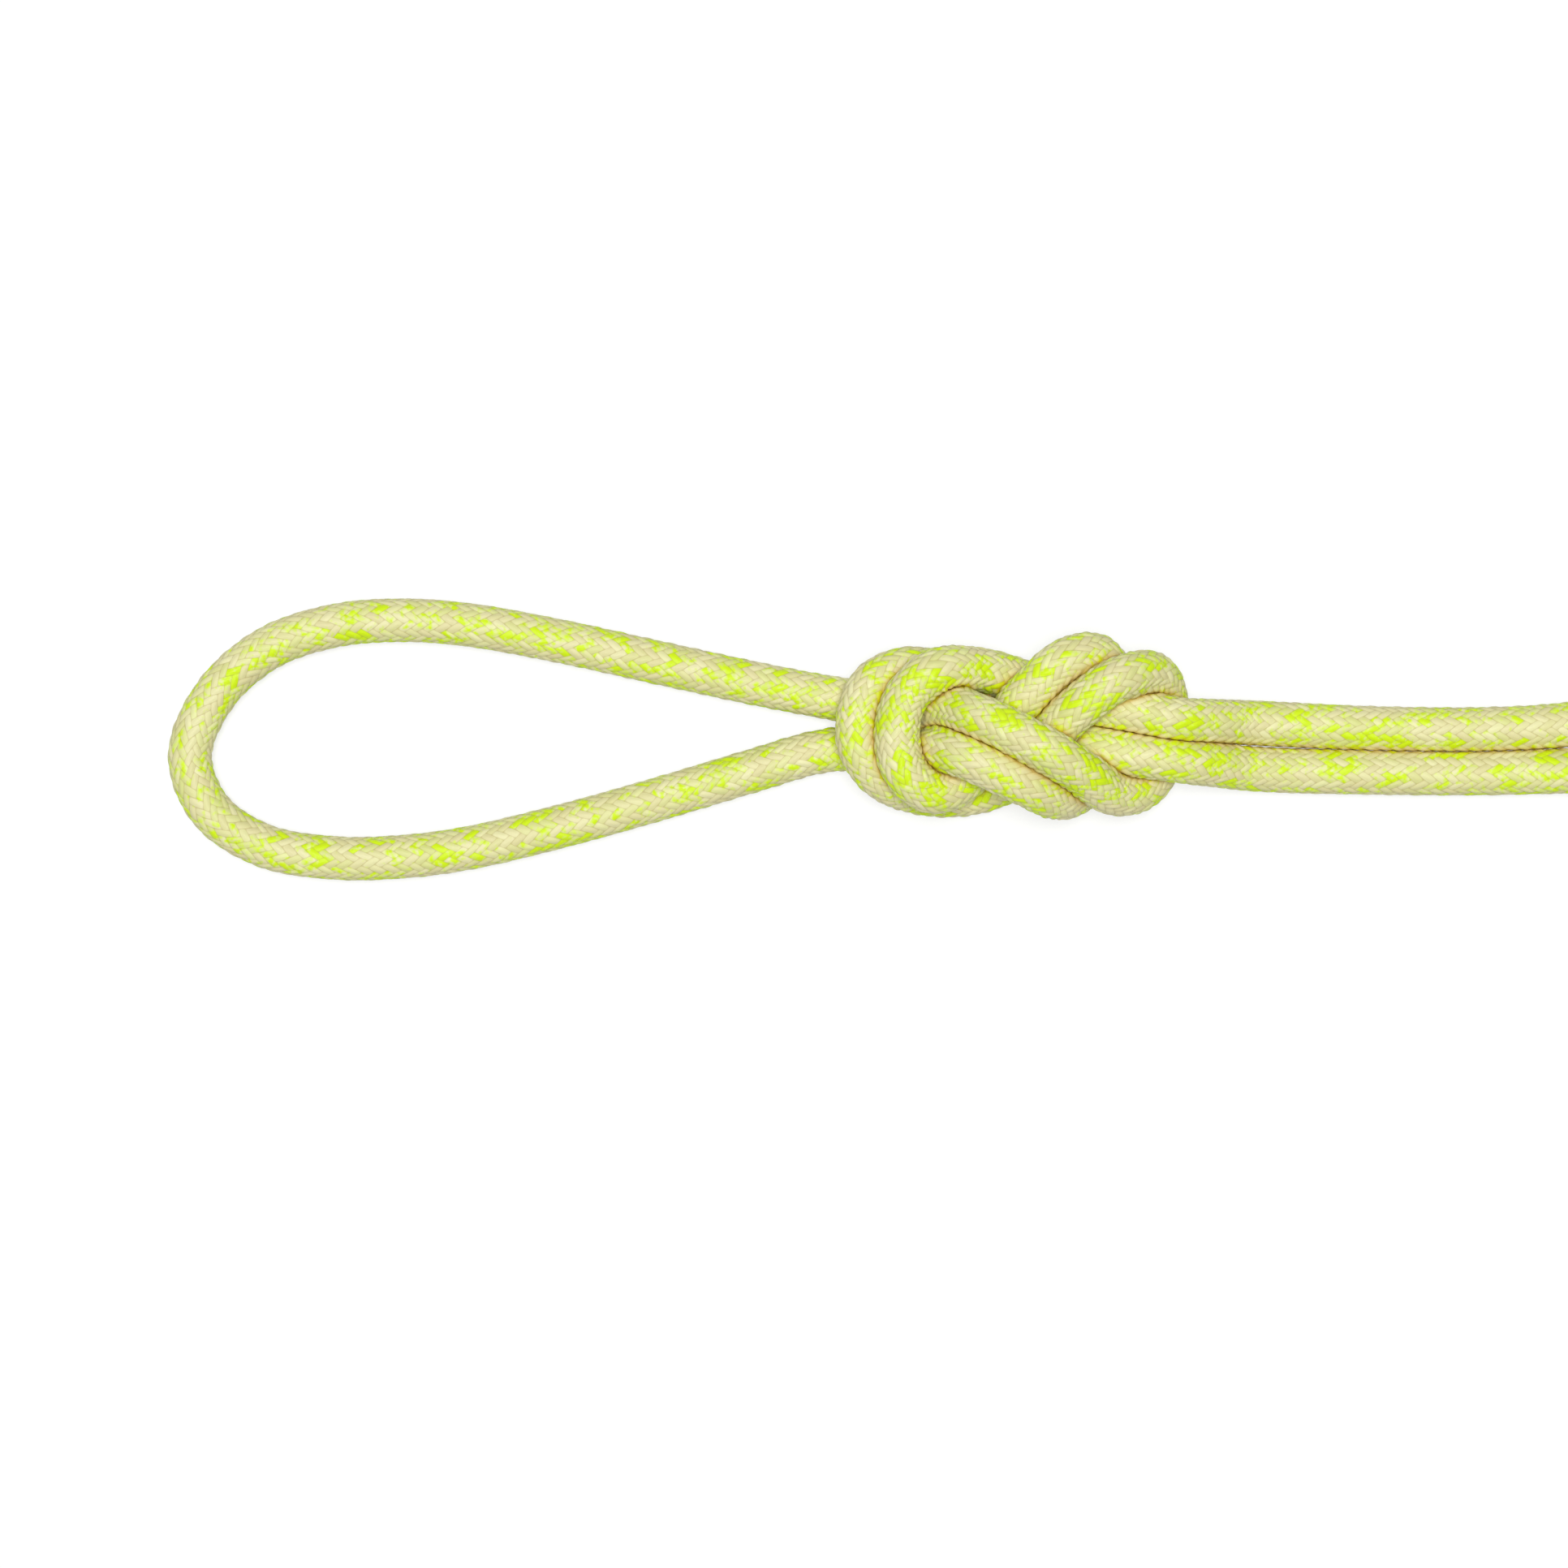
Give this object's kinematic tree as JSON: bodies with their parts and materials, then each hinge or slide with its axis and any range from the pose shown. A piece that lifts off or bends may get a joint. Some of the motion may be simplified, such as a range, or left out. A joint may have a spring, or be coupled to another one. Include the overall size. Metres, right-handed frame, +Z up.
{
  "type": "dynamic climbing rope",
  "caption": "Braided climbing rope with a figure-eight loop tied in one end and the rest put away in a long flat-folded hank held by a strap.",
  "frame": {"origin": "middle of the bounding box's underside, on the surface that the rope and its hank lie on", "axes": "+X from the tied loop to the hank, +Y to the side on which the standing part joins the hank, +Z up"},
  "size_m": [0.6623, 0.1324, 0.1273],
  "materials": {
    "sheath": "braided polyamide yarn, soft sheen",
    "core": "twisted polyamide strands, soft sheen",
    "sealed_end": "melted polyamide, smooth",
    "sleeve": "matt heat-shrunk plastic",
    "strap": "woven webbing, matt"
  },
  "bodies": {
    "root": {"tail_sheath": "sheath", "tail_core": "core", "knot_tail_pass_sheath": "sheath", "knot_tail_pass_core": "core", "eye_sheath": "sheath", "eye_core": "core", "knot_standing_pass_sheath": "sheath", "knot_standing_pass_core": "core", "standing_sheath": "sheath", "standing_core": "core", "core_strand_01": "core", "core_strand_02": "core", "core_strand_03": "core", "core_strand_04": "core", "core_strand_05": "core", "core_strand_06": "core", "core_strand_07": "core", "core_strand_08": "core", "core_strand_09": "core", "core_strand_10": "core", "core_strand_11": "core", "core_strand_12": "core", "tail_sealed_end": "sealed_end", "tail_sleeve": "sleeve", "far_sealed_end": "sealed_end", "far_sleeve": "sleeve", "hank_winding": "sheath", "hank_heart": "core", "hank_strap": "strap", "strap_closure": "strap"}
  },
  "joints": []
}
